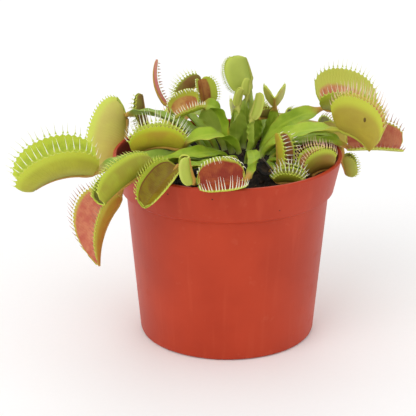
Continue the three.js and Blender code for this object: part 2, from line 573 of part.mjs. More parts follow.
const model = new THREE.Group();
model.add(pot, plant);
export default model;
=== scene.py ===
# A potted Venus flytrap in a terracotta-coloured plastic nursery pot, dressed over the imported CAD
# model. Lengths are in millimetres until they reach a mesh, a node or the camera, which take metres,
# and the lamps are placed in metres.
import math
import random

import bpy
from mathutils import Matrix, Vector, noise


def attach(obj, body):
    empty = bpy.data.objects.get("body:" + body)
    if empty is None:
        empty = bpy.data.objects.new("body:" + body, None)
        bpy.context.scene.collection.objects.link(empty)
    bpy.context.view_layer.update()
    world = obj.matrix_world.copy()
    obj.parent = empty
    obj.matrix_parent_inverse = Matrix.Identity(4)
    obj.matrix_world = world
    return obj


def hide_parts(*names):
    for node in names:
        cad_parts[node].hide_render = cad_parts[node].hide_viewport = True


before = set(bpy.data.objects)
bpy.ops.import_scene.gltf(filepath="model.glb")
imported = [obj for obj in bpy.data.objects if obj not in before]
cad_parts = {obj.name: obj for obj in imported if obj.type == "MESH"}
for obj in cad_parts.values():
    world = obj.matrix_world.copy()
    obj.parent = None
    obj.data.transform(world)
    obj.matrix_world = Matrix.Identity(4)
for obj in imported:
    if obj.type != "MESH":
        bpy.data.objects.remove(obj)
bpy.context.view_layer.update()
MM = 0.001
UP = Vector((0, 0, 1))

# Camera, at the photograph's viewing angle
CAMERA_TARGET = Vector((-7.66, 0, 50.5))
CAMERA_PITCH = 20.05
CAMERA_DISTANCE = 637
PHOTO_PIXELS = 416
FOCAL_PIXELS = 1600
SENSOR_WIDTH = 36

# Pot
POT_RIM_RADIUS = 45
POT_HEIGHT = 74
POT_WALL = 1.3
POT_FOOT_RADIUS = 35
LIP_HEIGHT = 14
LIP_STEP = 2
LIP_FLARE = 3
BASE_RAISE = 1.2
CENTRE_PAD_RADIUS = 9
FOOT_RING_INNER = 31
FOOT_NOTCH = 0.5
FEET = 7
FOOT_TURN = 20
DRAIN_HOLES = 6
DRAIN_RADIUS = 3
DRAIN_CIRCLE = 20
POT_SIDES = 144
LIP_FOOT = POT_HEIGHT - LIP_HEIGHT
BODY_TOP = POT_RIM_RADIUS - LIP_FLARE - LIP_STEP
LIP_LOW = BODY_TOP + LIP_STEP
POT_BEVEL = 0.22
BEVEL_FROM = 28

# The cutters of the drain holes and of the notches between the feet: where the first one stands, in
# degrees, and how deep or long they are
HOLE_TURN = 30
HOLE_SIDES = 32
HOLE_CUT = 12
NOTCH_TURN = -96
NOTCH_CUT = 14

# Peat and crown
SOIL_TOP = 66
SOIL_RELIEF = 0.7
SOIL_SIDES = 120
SOIL_RINGS = 40
PEAT_GAP = 0.3
PEAT_SEED = 7
CRUMBS = 520
CRUMB_REACH = 40.5
CRUMB_SIZES = (0.35, 0.5, 0.7, 0.9, 1.3)
FIBRES = 90
FIBRE_REACH = 38
CROWN = Vector((5, 6, 0))
MOUND = 6
MOUND_SPREAD = 26
RHIZOME_RADIUS = 5.5
RHIZOME_TOP = 71.8
RHIZOME_BOTTOM = 56
CROWN_SCALES = 7
SCALE_DEPTH = 0.07

# Leaf stalk
FOOT_RADIUS = 1.15
FOOT_DEPTH = 5
FOOT_LEAN = 0.35
KEEL_END = 0.96
RIB_WIDTH = 0.9
RIB_TOP = 0.35
BLADE_WAVE = 0.05
RUFFLE = 0.28
NECK_RADIUS = 0.95
BLADE_EDGE = 0.5
BLADE_RIB = 1.2
BLADE_FOLD = 0.28
STALK_STEPS = 40
KEEL_STEPS = 14
STALK_ROUND = 24
LEAF_SEED = 1000

# Trap lobes
LOBE_THICKNESS = 0.55
LOBE_END_SHARE = 0.34
LOBE_SQUARENESS = 2.4
LOBE_ROWS = 14
COLUMNS_PER_HAIR = 4
PLAIN_COLUMNS = 24
MARGIN_FLARE = 0.12
FLARE_FROM = 0.82
FLARE_SPAN = 0.18
RIPPLE = 0.2
RIPPLE_SIZE = 5
SCALLOP = 0.4
HAIR_START = 0.03
HAIR_SPAN = 0.94
HAIR_WIDTH = 0.25
HAIR_COMB = ((4, 38), (4, 38))
HAIR_CUTS = (0.2, 0.4, 0.6, 0.8)
HAIR_LENGTHS = (0.82, 0.94)
HAIR_ROOT = 1.9
HAIR_TIP = 0.55
HAIR_STRAY = 7
CURL_STRAY = 12

# How far a trap's two lobes stand from the way its mouth faces, in degrees, at midrib and margin
SHUT = (50, -22)
AJAR = (50, 6)
OPEN = (68, 24)

# Studio: each lamp's name, place, aim, width and power
WORLD_LIGHT = 0.84
LAMPS = (
    ("key", (-0.55, -0.75, 0.85), (0, 0, 0.05), 0.8, 4.4),
    ("fill", (0.9, -0.5, 0.5), (0, 0, 0.05), 0.8, 0.5),
    ("back", (0.1, 0.9, 0.8), (0, 0, 0.06), 0.7, 1.8),
)

# The marks on each point of a leaf or of the peat that the finishes read
MARKS = ("along", "across", "reach")

# What a leaf is where its row doesn't say
PLAIN_LEAF = dict(hairs=0, hair=0, twist=0, ends=LOBE_END_SHARE, comb=HAIR_COMB)

# One row for each leaf, with the values of the part's source. stand is its foot round the crown, in
# degrees and distance. neck and tip are the ends of the trap's midrib, mouth the way the trap
# opens and gape how far, via the point that pulls the stalk over, lobe the lobes' height, arch the
# midrib's bend and lean how far the lobes lean back and on. hairs is how many cilia each margin has,
# hair their length, blade the stalk's width, twist its roll and rise how far it runs up from the
# foot. ends is the share of the height left at the trap's ends. look names the finish of the trap's
# outside, inside and cilia, and of the stalk. comb is how far each lobe's cilia turn out at the root
# and curl in.
LEAVES = [
    dict(name="far_left", stand=(202, 12.5), neck=(-52, -22, 72), tip=(-74, -26, 67),
         mouth=(0, -0.12, 1), via=(-40, -23, 80.4), lobe=16.6, gape=AJAR, arch=50, lean=(14, 30),
         hairs=19, hair=6.4, blade=8, twist=15, rise=4,
         look=("lime", "inside_lime", "pale_hairs", "sage")),
    dict(name="left_heart", stand=(173, 12.5), neck=(-41.2, 24.5, 81.4), tip=(-44, 18.5, 62.9),
         mouth=(-1, 0.2, 0.1), via=(-32, 11, 91), lobe=16.6, gape=SHUT, arch=-24, lean=(72, 42),
         hairs=26, hair=3, blade=7, rise=14, look=("straw", "inside_olive", "pale_hairs", "sage"),
         comb=((-40, 24), (-40, 24))),
    dict(name="left_slim", stand=(163, 17), neck=(-32.5, 26, 75), tip=(-34.6, 27.5, 89.5),
         mouth=(-1, -0.3, 0), via=(-28, 23, 73.5), lobe=4.6, gape=SHUT, arch=10, lean=(20, 20),
         hairs=10, hair=3, blade=5, rise=5, look=("bronze", "inside_olive", "pale_hairs", "green")),
    dict(name="left_near", stand=(262, 3.2), neck=(-19, -7, 77.6), tip=(-35.4, -7, 75.8),
         mouth=(-0.1, 0.17, 1), via=(-9, -5, 86), lobe=10.6, gape=AJAR, arch=50, lean=(28, 14),
         hairs=18, hair=7, blade=9, twist=22, rise=9,
         look=("olive", "inside_brown", "pale_hairs", "bright")),
    dict(name="left_long", stand=(231, 8.5), neck=(-28.4, -30, 77.6), tip=(-45.4, -52.8, 71.2),
         mouth=(-0.75, 0.1, 0.65), via=(-18, -19.5, 79), lobe=9.6, gape=SHUT, arch=16, lean=(14, 14),
         hairs=24, hair=2.6, blade=8, twist=28, rise=6,
         look=("dark_green", "inside_olive", "short_hairs", "green")),
    dict(name="front_left", stand=(258, 8.5), neck=(-19.2, -29.8, 78), tip=(-31, -50, 69),
         mouth=(-0.35, -0.85, 0.45), via=(-6.3, -23, 75), lobe=8.3, ends=0.06, gape=OPEN, arch=20,
         lean=(-2, 12), hairs=18, hair=3, blade=5, rise=5,
         look=("leaf_green", "inside_lined", "short_hairs", "green")),
    dict(name="front_pod", stand=(262, 12.5), neck=(-13.2, -42.4, 76), tip=(-14.8, -47.7, 87.6),
         mouth=(-1, 0, 0), via=(-13, -36, 72.4), lobe=4.2, gape=SHUT, arch=12, lean=(10, 10), blade=3,
         rise=3, look=("pale_pod", "inside_olive", "short_hairs", "green")),
    dict(name="front_red", stand=(287, 8.5), neck=(6, -40, 76), tip=(-11, -43, 75.2),
         mouth=(-0.1, -0.7, 0.75), via=(13, -30, 79), lobe=9.6, ends=0.06, gape=OPEN, arch=12,
         lean=(8, 15), hairs=17, hair=7.8, blade=5, rise=12,
         look=("leaf_green", "inside_red", "pale_hairs", "green"), comb=((-58, 26), (-20, 48))),
    dict(name="front_dead", stand=(288, 12.5), neck=(16.4, -23.6, 73.7), tip=(13.4, -20.1, 76.7),
         mouth=(-0.6, -0.8, 0.3), via=(16, -22, 74), lobe=4, gape=AJAR, arch=10, lean=(20, 20), blade=4,
         rise=4, look=("dead", "dead", "dead", "green")),
    dict(name="front_low", stand=(305, 12.5), neck=(19, -25.5, 70.4), tip=(27.3, -27.2, 70),
         mouth=(0, -0.1, 1), via=(16, -21, 71), lobe=6, gape=AJAR, arch=45, lean=(28, 28), hairs=13,
         hair=4.5, blade=3, rise=5.5, look=("dark_green", "inside_olive", "pale_hairs", "green")),
    dict(name="right_stand", stand=(322, 12.5), neck=(19.6, -12.6, 69), tip=(18.6, -8.8, 83.6),
         mouth=(0.8, -0.6, 0.1), via=(19.4, -13.2, 67.5), lobe=7, gape=AJAR, arch=20, lean=(20, 20),
         hairs=13, hair=4, blade=4.2, rise=4, look=("olive", "inside_brown", "pale_hairs", "green")),
    dict(name="right_round", stand=(339, 12.5), neck=(31.4, -17.8, 70.5), tip=(39.3, -14.8, 72.2),
         mouth=(0, 0.2, 1), via=(29, -9, 72), lobe=10.5, gape=AJAR, arch=40, lean=(14, 14), hairs=17,
         hair=4.6, blade=4.4, rise=3, look=("tan", "inside_brown", "pink_hairs", "green")),
    dict(name="far_right", stand=(347, 8.5), neck=(43.3, -6, 85), tip=(55, -10, 77.5),
         mouth=(0.5, 0.1, 0.85), via=(30, -3, 84.5), lobe=18.8, gape=AJAR, arch=45, lean=(34, -20),
         hairs=20, hair=6.6, blade=9, twist=-25, rise=10,
         look=("speckled", "inside_pink", "pink_hairs", "lime_necked")),
    dict(name="far_right_top", stand=(15, 8.5), neck=(38.8, 22, 85.4), tip=(56.6, 28, 74.6),
         mouth=(0.6, -0.15, 0.75), via=(27, 15.4, 83.2), lobe=19, gape=AJAR, arch=45, lean=(35, -15),
         hairs=19, hair=5, blade=8, twist=-25, rise=12,
         look=("lime", "inside_flushed", "pale_hairs", "green")),
    dict(name="right_red", stand=(356, 12.5), neck=(48.6, 8, 73), tip=(68.6, 7, 73),
         mouth=(0, -0.42, 0.91), via=(38, 4, 81), lobe=11, gape=OPEN, arch=20, lean=(20, 20), hairs=17,
         hair=5, blade=5, rise=6, look=("lime", "inside_pink", "rose_hairs", "green")),
    dict(name="right_old", stand=(12, 12.5), neck=(46.5, 15, 66.5), tip=(48.6, 17, 58.8),
         mouth=(1, 0, 0), via=(47.2, 11, 86), lobe=6, gape=SHUT, arch=10, lean=(20, 20), hairs=10,
         hair=1.5, blade=5, rise=6, look=("fresh", "inside_olive", "short_hairs", "green")),
    dict(name="top_tall", stand=(105, 8.5), neck=(9.4, 26.5, 95.5), tip=(7.2, 28, 104.8),
         mouth=(-1, 0, 0.2), via=(9, 25, 84), lobe=11.2, gape=SHUT, arch=-10, lean=(45, 25), hairs=24,
         hair=2, blade=10, rise=8, look=("fresh", "inside_lime", "pale_hairs", "pale_green")),
    dict(name="young_front", stand=(115, 3.2), neck=(4.2, 10, 90), tip=(6, 10, 96.6), mouth=(-1, 0, 0),
         via=(4, 9, 84), lobe=2.6, gape=SHUT, arch=10, lean=(10, 10), blade=9, rise=8,
         look=("pale_pod", "inside_olive", "short_hairs", "pale_green")),
    dict(name="young_back", stand=(80, 8.5), neck=(8, 15, 93), tip=(8.5, 16, 99), mouth=(-1, 0, 0),
         via=(7.6, 15.5, 86), lobe=2.6, gape=SHUT, arch=10, lean=(10, 10), blade=6, rise=8,
         look=("pale_pod", "inside_olive", "short_hairs", "pale_green")),
    dict(name="top_folded", stand=(350, 3.2), neck=(9.5, 9, 85), tip=(12, 12, 94.5), mouth=(1, 0, 0),
         via=(9, 8, 80), lobe=3.5, gape=SHUT, arch=10, lean=(10, 10), blade=8, rise=6,
         look=("pale_pod", "inside_olive", "short_hairs", "pale_green")),
    dict(name="top_right_open", stand=(46, 12.5), neck=(19, 17.4, 87.5), tip=(18.8, 13.4, 92.5),
         mouth=(0, 0.6, 0.8), via=(19.4, 17.6, 82.5), lobe=8, gape=(45, 15), arch=10, lean=(15, 15),
         hairs=9, hair=1.8, blade=4, rise=6, look=("straw", "inside_rust", "short_hairs", "green")),
    dict(name="top_right_olive", stand=(58, 8.5), neck=(12.5, 18, 83), tip=(19, 22, 81),
         mouth=(0, 0, 1), via=(12.6, 16.5, 79), lobe=5, gape=SHUT, arch=20, lean=(25, 25), hairs=9,
         hair=1.5, blade=7, rise=6, look=("bronze", "inside_brown", "short_hairs", "green")),
    dict(name="top_red", stand=(133, 8.5), neck=(-9, 17.8, 88.5), tip=(-10.8, 19.5, 98),
         mouth=(0.5, -0.85, 0.2), via=(-8, 17.5, 81), lobe=6.5, gape=OPEN, arch=20, lean=(20, 20),
         hairs=13, hair=2.5, blade=10, rise=11,
         look=("lime", "inside_rust", "pale_hairs", "pale_green")),
    dict(name="top_left_olive", stand=(136, 12.5), neck=(-18.7, 27, 86.6), tip=(-10.6, 30, 94.6),
         mouth=(-0.5, 0.35, 0.8), via=(-15.5, 23.5, 80), lobe=6.5, gape=AJAR, arch=20, lean=(20, 20),
         hairs=12, hair=4, blade=6, rise=8, look=("bronze", "inside_olive", "pale_hairs", "green")),
    dict(name="top_left_small", stand=(200, 3.2), neck=(-11.5, 8, 90.2), tip=(-20.3, 5.6, 87.3),
         mouth=(-0.1, -0.55, 0.83), via=(-1, 7, 92), lobe=8.4, gape=(80, -5), arch=40, lean=(20, 20),
         hairs=16, hair=3, blade=9, rise=14, look=("lime", "inside_tan", "pale_hairs", "green"),
         comb=((-58, 26), (-14, 40))),
    dict(name="top_left_thin", stand=(154, 12.5), neck=(-23.5, 20, 87), tip=(-28, 24, 105),
         mouth=(1, 0, -0.1), via=(-19, 16, 80), lobe=1.3, gape=SHUT, arch=-66, lean=(10, 10), hairs=14,
         hair=2, blade=6, rise=8, look=("rosy", "inside_pink", "rose_hairs", "green")),
    dict(name="left_hanging", stand=(220, 12.5), neck=(-40.5, -35.3, 66.5), tip=(-48.5, -42.5, 43),
         mouth=(-0.9, -0.41, 0.06), via=(-42, -30.6, 86.4), lobe=16.7, ends=0.1, gape=OPEN, arch=46,
         lean=(14, -50), hairs=20, hair=4, blade=5, rise=3,
         look=("amber", "inside_pink", "rose_hairs", "green")),
    dict(name="dead_strip", stand=(240, 12.5), neck=(-15, -24, 73.2), tip=(-19, -26, 73.2),
         mouth=(0, 0, 1), via=(-10, -18, 73), lobe=2.5, gape=SHUT, arch=10, lean=(10, 10), blade=8,
         rise=3, look=("dead", "dead", "dead", "dead")),
    dict(name="back_left", stand=(119, 12.5), neck=(-15, 44, 76.5), tip=(-22, 57, 61),
         mouth=(-0.2, 0.7, 0.7), via=(-11, 33, 84), lobe=10, gape=AJAR, arch=40, lean=(5, 28), hairs=14,
         hair=4, blade=7, rise=7, look=("lime", "inside_pink", "pink_hairs", "green")),
    dict(name="back_middle", stand=(86, 12.5), neck=(8, 47, 76.5), tip=(10, 61, 60),
         mouth=(0.1, 0.7, 0.7), via=(7, 34, 84), lobe=11, gape=OPEN, arch=40, lean=(5, 28), hairs=15,
         hair=4, blade=8, rise=7, look=("leaf_green", "inside_red", "pale_hairs", "sage")),
    dict(name="back_right", stand=(66, 12.5), neck=(25, 41, 76), tip=(31, 52, 60),
         mouth=(0.5, 0.8, 0.2), via=(19, 32, 81.5), lobe=8.5, gape=SHUT, arch=40, lean=(-20, 28),
         hairs=13, hair=4, blade=7, rise=7, look=("olive", "inside_olive", "pale_hairs", "green")),
    dict(name="right_back", stand=(29, 12.5), neck=(38, 32, 75.5), tip=(46, 43, 62),
         mouth=(0.6, 0.4, 0.6), via=(28, 26, 80), lobe=7.5, gape=AJAR, arch=30, lean=(-15, 28),
         hairs=12, hair=3.5, blade=6, rise=5, look=("ochre", "inside_olive", "pink_hairs", "green")),
    dict(name="back_low", stand=(103, 12.5), neck=(-3, 31, 73), tip=(-7, 39, 71), mouth=(0, 0, 1),
         via=(-1, 26, 74), lobe=5, gape=AJAR, arch=30, lean=(28, 28), hairs=10, hair=2.5, blade=4,
         rise=3, look=("leaf_green", "inside_lime", "pale_hairs", "green")),
]


def mix(a, b, t):
    return a + (b - a) * t


def clamp(t):
    return min(1.0, max(0.0, t))


def ease(t):
    t = clamp(t)
    return t * t * (3 - 2 * t)


def wave_noise(point, size):
    """Smooth noise from -1 to 1 with lumps of about that size, in millimetres."""
    return noise.noise(Vector(point) / size)


def round_axis(radius, turn):
    """The point at that radius and angle round +Z."""
    return Vector((radius * math.cos(turn), radius * math.sin(turn), 0))


def srgb(red, green, blue):
    """A colour as the eye reads it, from 0 to 255, turned into Blender's linear one."""
    def linear(level):
        level /= 255
        return level / 12.92 if level <= 0.04045 else ((level + 0.055) / 1.055) ** 2.4
    return (linear(red), linear(green), linear(blue), 1.0)


# Materials
class Signal:
    """A shader socket that Python's operators work on: each adds one Math node."""

    def __init__(self, finish, socket):
        self.finish = finish
        self.socket = socket

    def math(self, operation, *values):
        inputs = dict(enumerate(values))
        return self.finish.node("Math", {"operation": operation}, inputs)

    def __add__(self, other):
        return self.math("ADD", self, other)

    def __sub__(self, other):
        return self.math("SUBTRACT", self, other)

    def __rsub__(self, other):
        return self.math("SUBTRACT", other, self)

    def __mul__(self, other):
        return self.math("MULTIPLY", self, other)

    def __pow__(self, other):
        return self.math("POWER", self, other)

    def __abs__(self):
        return self.math("ABSOLUTE", self)

    __radd__ = __add__
    __rmul__ = __mul__

    def fraction(self):
        return self.math("FRACT", self)

    def rise(self, low, high):
        """0 below low and 1 above high, with an eased slope between. low may be the larger."""
        inputs = {"Value": self, "From Min": low, "From Max": high}
        return self.finish.node("MapRange", {"interpolation_type": "SMOOTHSTEP"}, inputs)


class Finish:
    """One material, with a method that adds any node and gives its output as a Signal."""

    def __init__(self, name):
        self.material = bpy.data.materials.new(name)
        self.material.use_nodes = True
        self.tree = self.material.node_tree
        self.tree.nodes.clear()

    def node(self, kind, settings=None, inputs=None, output=0):
        made = self.tree.nodes.new("ShaderNode" + kind)
        for key, value in (settings or {}).items():
            setattr(made, key, value)
        for key, value in (inputs or {}).items():
            if isinstance(value, Signal):
                self.tree.links.new(value.socket, made.inputs[key])
            else:
                made.inputs[key].default_value = value
        return Signal(self, made.outputs[output])

    def mark(self, name):
        return self.node("Attribute", {"attribute_name": name}, output="Fac")

    def place(self, stretch=(1, 1, 1)):
        spot = self.node("TexCoord", output="Object")
        return self.node("Mapping", inputs={"Vector": spot, "Scale": stretch})

    def noise(self, size, detail=3, stretch=(1, 1, 1)):
        """Noise from 0 to 1 whose lumps are about size millimetres across."""
        inputs = {"Vector": self.place(stretch), "Scale": 1 / (size * MM), "Detail": detail}
        return self.node("TexNoise", inputs=inputs, output="Fac")

    def blend(self, factor, low, high):
        """Mixes two colours, each an output or three levels from 0 to 255."""
        low, high = (end if isinstance(end, Signal) else srgb(*end) for end in (low, high))
        inputs = {0: factor, 6: low, 7: high}
        return self.node("Mix", {"data_type": "RGBA"}, inputs, output=2)

    def bump(self, height, depth):
        inputs = {"Height": height, "Distance": depth * MM, "Strength": 1.0}
        return self.node("Bump", inputs=inputs)

    def done(self, colour, roughness, normal, plain=None):
        inputs = {"Base Color": colour, "Roughness": roughness, "Normal": normal, **(plain or {})}
        shader = self.node("BsdfPrincipled", inputs=inputs)
        output = self.tree.nodes.new("ShaderNodeOutputMaterial")
        self.tree.links.new(shader.socket, output.inputs["Surface"])
        return self.material


def lobe_veins(finish, count):
    """Fine lines that run from the midrib to the margin, that many along the lobe."""
    along = finish.mark("along")
    wobble = finish.noise(4, detail=1)
    stripe = abs((along * count + wobble * 1.6).fraction() - 0.5)
    return stripe.rise(0.2, 0.0)


def trap_outside(name, field, margin, keel, flush, blemish=None):
    """The smooth outer skin of a lobe: one colour over the field, another towards the margin, a
    third at the midrib, and a flush that comes through in patches. blemish is where along and
    across the lobe a dark speck lies."""
    finish = Finish(name)
    across = finish.mark("across")
    veins = lobe_veins(finish, 24)
    clouds = finish.noise(7, detail=3)
    fine = finish.noise(0.7, detail=2)
    field = finish.blend(clouds.rise(0.65, 0.3), flush, field)
    colour = finish.blend(across.rise(0.32, 0.02), field, keel)
    colour = finish.blend((across + clouds * 0.12).rise(0.74, 0.95), colour, margin)
    colour = finish.blend(veins * across.rise(0.95, 0.5) * 0.1, colour, keel)
    colour = finish.blend(fine.rise(0.62, 0.75) * 0.14, colour, flush)
    if blemish:
        away = ((finish.mark("along") - blemish[0]) * 38) ** 2 + ((across - blemish[1]) * 17) ** 2
        colour = finish.blend(away.rise(1.1, 0.5) * 0.9, colour, (88, 62, 22))
    normal = finish.bump(veins * 0.2 + fine * 0.35, 0.12)
    roughness = 0.46 + clouds * 0.12
    return finish.done(colour, roughness, normal, LEAF_GLOSS)


def trap_inside(name, field, streak, band, band_start=0.84, line=None):
    """The inner skin of a lobe: a coloured field of tiny glands with streaks towards the margin,
    inside a paler band. line is the colour of a thin line between the two."""
    finish = Finish(name)
    across = finish.mark("across")
    along = finish.mark("along")
    veins = lobe_veins(finish, 26)
    clouds = finish.noise(3.5, detail=3)
    cells = {"Vector": finish.place(), "Scale": 1 / (0.75 * MM)}
    gland = finish.node("TexVoronoi", inputs=cells).rise(0.34, 0.12)
    colour = finish.blend(clouds.rise(0.35, 0.68), field, streak)
    colour = finish.blend(veins * across.rise(0.1, 0.4) * clouds * 0.5, colour, streak)
    colour = finish.blend(gland * 0.4, colour, streak)
    colour = finish.blend(across.rise(0.1, 0.0) * 0.6, colour, streak)
    ends = abs(along - 0.5).rise(0.42, 0.5)
    edge = (across + clouds * 0.16 + ends * 0.2).rise(band_start, band_start + 0.13)
    colour = finish.blend(edge, colour, band)
    if line:
        away = abs(across + clouds * 0.05 - band_start)
        colour = finish.blend(away.rise(0.05, 0.015) * 0.85, colour, line)
    normal = finish.bump(veins * 0.4 + gland * 0.5, 0.12)
    return finish.done(colour, 0.42 + clouds * 0.14, normal, LEAF_GLOSS)


def margin_rim():
    finish = Finish("rim")
    clouds = finish.noise(1.6, detail=2)
    colour = finish.blend(clouds.rise(0.4, 0.7), (188, 200, 72), (206, 204, 96))
    return finish.done(colour, 0.45 + clouds * 0.1, finish.bump(clouds, 0.1), LEAF_GLOSS)


def cilia(name, root, tip):
    finish = Finish(name)
    reach = finish.mark("reach")
    streaks = finish.noise(0.9, detail=1)
    colour = finish.blend(reach.rise(0.0, 0.32), root, tip)
    colour = finish.blend(streaks.rise(0.55, 0.8) * 0.25, colour, root)
    return finish.done(colour, 0.42 + streaks * 0.1, finish.bump(streaks, 0.05), LEAF_GLOSS)


def stalk_skin(name, blade, rib, edge, neck, base):
    """A winged stalk: fine lengthwise veins, a paler rib and edge, a flushed neck and a pale foot."""
    finish = Finish(name)
    along = finish.mark("along")
    across = finish.mark("across")
    clouds = finish.noise(6, detail=3)
    fine = finish.noise(0.8, detail=2)
    lines = abs((across * 9 + clouds * 0.7).fraction() - 0.5).rise(0.18, 0.0)
    colour = finish.blend(clouds.rise(0.3, 0.75), blade, rib)
    colour = finish.blend(abs(across).rise(0.2, 0.04) * 0.6, colour, rib)
    colour = finish.blend(lines * 0.2, colour, rib)
    colour = finish.blend(abs(across).rise(0.84, 1.0) * clouds.rise(0.42, 0.65) * 0.5, colour, edge)
    colour = finish.blend(along.rise(0.84, 0.96) * 0.8, colour, neck)
    colour = finish.blend(along.rise(0.16, 0.02), colour, base)
    colour = finish.blend(fine.rise(0.64, 0.76) * 0.15, colour, edge)
    normal = finish.bump(lines * 0.5 + fine * 0.4, 0.14)
    return finish.done(colour, 0.44 + clouds * 0.14, normal, LEAF_GLOSS)


def dead_skin():
    finish = Finish("dead")
    clouds = finish.noise(2.2, detail=4)
    fibres = finish.noise(0.5, detail=2, stretch=(1, 1, 0.2))
    colour = finish.blend(clouds.rise(0.4, 0.72), (30, 27, 24), (88, 70, 52))
    colour = finish.blend(fibres.rise(0.55, 0.75) * 0.5, colour, (58, 54, 50))
    return finish.done(colour, 0.62 + fibres * 0.2, finish.bump(clouds + fibres, 0.3))


def pot_plastic():
    """Injection-moulded plastic: faint flow lines down the wall, a grain, a scuff or two, specks of
    peat that stuck to the rim and an inside darkened to a dark red-brown, partly peat stain and
    partly painted shade."""
    finish = Finish("pot_plastic")
    clouds = finish.noise(26, detail=3)
    flow = finish.noise(3.2, detail=2, stretch=(1, 1, 0.04))
    grain = finish.noise(0.45, detail=2)
    speck = finish.noise(1.7, detail=1)
    scuff = finish.noise(5, detail=6)
    height = finish.node("SeparateXYZ", inputs={"Vector": finish.place()}, output="Z")
    colour = finish.blend(clouds.rise(0.3, 0.7), (175, 55, 27), (187, 62, 32))
    colour = finish.blend(flow.rise(0.52, 0.75) * 0.35, colour, (192, 74, 44))
    colour = finish.blend(scuff.rise(0.63, 0.72) * 0.14, colour, (200, 104, 78))
    # The inner wall is darkened to a dark red-brown: partly peat stain, partly painted shade for the
    # shadow that falls in the pot
    stain_and_shade = finish.mark("inner") * height.rise(74.5 * MM, 72 * MM)
    colour = finish.blend(stain_and_shade * (clouds * 0.3 + 0.7), colour, (82, 26, 18))
    upper = height.rise(58 * MM, 62 * MM)
    colour = finish.blend(speck.rise(0.765, 0.79) * upper, colour, (52, 30, 22))
    roughness = 0.4 + grain * 0.08 + scuff.rise(0.55, 0.75) * 0.1
    normal = finish.bump(flow * 0.6 + grain * 0.4, 0.06)
    return finish.done(colour, roughness, normal, {"Specular IOR Level": 0.22})


def peat_crumb(name, dark, light):
    finish = Finish(name)
    clouds = finish.noise(2.6, detail=5)
    grit = finish.noise(0.5, detail=3)
    colour = finish.blend(clouds.rise(0.35, 0.7), dark, light)
    colour = finish.blend(grit.rise(0.6, 0.78) * 0.6, colour, (92, 70, 48))
    return finish.done(colour, 0.78 + grit * 0.2, finish.bump(clouds + grit, 0.6))


def crown_skin():
    finish = Finish("crown")
    clouds = finish.noise(1.8, detail=3)
    colour = finish.blend(clouds.rise(0.35, 0.7), (196, 204, 140), (150, 168, 84))
    return finish.done(colour, 0.5 + clouds * 0.12, finish.bump(clouds, 0.2), LEAF_GLOSS)


LEAF_GLOSS = {"Subsurface Weight": 0.12, "Subsurface Radius": (0.6, 0.9, 0.3),
              "Subsurface Scale": 1.2 * MM, "Specular IOR Level": 0.28}
LIME = (196, 208, 66)

# The outside of a trap: over the field, at the margin, at the midrib and in flushes, and where along
# and across the lobe a dark speck lies
OUTSIDES = {
    "lime": ((186, 192, 58), LIME, (152, 160, 46), (176, 180, 56)),
    "straw": ((206, 200, 98), (204, 214, 88), (190, 180, 78), (200, 188, 96)),
    "bronze": ((146, 136, 62), (168, 172, 70), (128, 104, 52), (142, 92, 58)),
    "olive": ((202, 188, 54), (204, 212, 60), (184, 166, 48), (198, 166, 60)),
    "dark_green": ((164, 168, 46), (182, 194, 56), (136, 142, 36), (156, 150, 44)),
    "leaf_green": ((150, 168, 54), (182, 198, 66), (120, 142, 44), (150, 150, 58)),
    "fresh": ((180, 192, 84), (190, 202, 86), (160, 176, 68), (172, 184, 78)),
    "pale_pod": ((178, 192, 76), (194, 204, 92), (156, 172, 62), (180, 182, 82)),
    "tan": ((150, 142, 42), (180, 192, 58), (140, 104, 40), (154, 120, 48)),
    "ochre": ((184, 172, 60), (196, 206, 66), (166, 154, 54), (168, 156, 58)),
    "rosy": ((196, 128, 112), (204, 156, 112), (188, 112, 106), (196, 110, 108)),
    "speckled": ((182, 166, 58), (192, 196, 64), (168, 152, 54), (172, 154, 56), (0.62, 0.6)),
    "amber": ((176, 142, 44), (188, 174, 62), (174, 122, 40), (180, 124, 48)),
}

# The inside of a trap: over the field, in streaks and in the band along the margin, and where across
# the lobe that band starts and the colour of a thin line there
INSIDES = {
    "inside_lime": ((196, 208, 70), (172, 188, 58), (200, 212, 72)),
    "inside_olive": ((140, 142, 50), (118, 112, 40), (180, 194, 64)),
    "inside_lined": ((142, 124, 16), (128, 98, 18), (166, 180, 42), 0.74, (120, 50, 26)),
    "inside_brown": ((170, 116, 60), (134, 74, 44), (182, 196, 64)),
    "inside_pink": ((208, 132, 96), (192, 98, 76), (196, 184, 72), 0.92),
    "inside_red": ((174, 86, 46), (148, 54, 34), (190, 196, 66), 0.86),
    "inside_flushed": ((214, 156, 108), (198, 122, 90), (202, 206, 94), 0.62),
    "inside_tan": ((204, 158, 88), (180, 108, 60), (190, 196, 68), 0.66),
    "inside_rust": ((178, 122, 58), (142, 70, 40), (180, 192, 62), 0.5),
}

# Cilia: at the root and at the tip
CILIA = {
    "pale_hairs": (LIME, (246, 246, 222)),
    "pink_hairs": ((206, 190, 96), (226, 188, 160)),
    "rose_hairs": ((200, 178, 92), (178, 112, 100)),
    "short_hairs": (LIME, (208, 214, 110)),
}

# A stalk: over the blade, at the rib, at the edge, at the neck and at the foot
STALKS = {
    "green": ((132, 162, 28), (168, 192, 52), (204, 156, 62), (212, 150, 76), (190, 202, 120)),
    "bright": ((156, 188, 46), (184, 206, 70), (210, 176, 72), (214, 150, 76), (196, 208, 124)),
    "lime_necked": ((150, 180, 42), (180, 200, 66), (200, 180, 70), (182, 178, 60), (196, 208, 124)),
    "pale_green": ((156, 180, 58), (178, 196, 76), (194, 184, 80), (186, 184, 88), (206, 214, 150)),
    "sage": ((140, 172, 62), (168, 192, 84), (192, 178, 80), (212, 156, 84), (200, 208, 150)),
}

MAKERS = ((trap_outside, OUTSIDES), (trap_inside, INSIDES), (cilia, CILIA), (stalk_skin, STALKS))
FINISHES = {"rim": margin_rim(), "dead": dead_skin()}
for maker, table in MAKERS:
    for kind, colours in table.items():
        FINISHES[kind] = maker(kind, *colours)


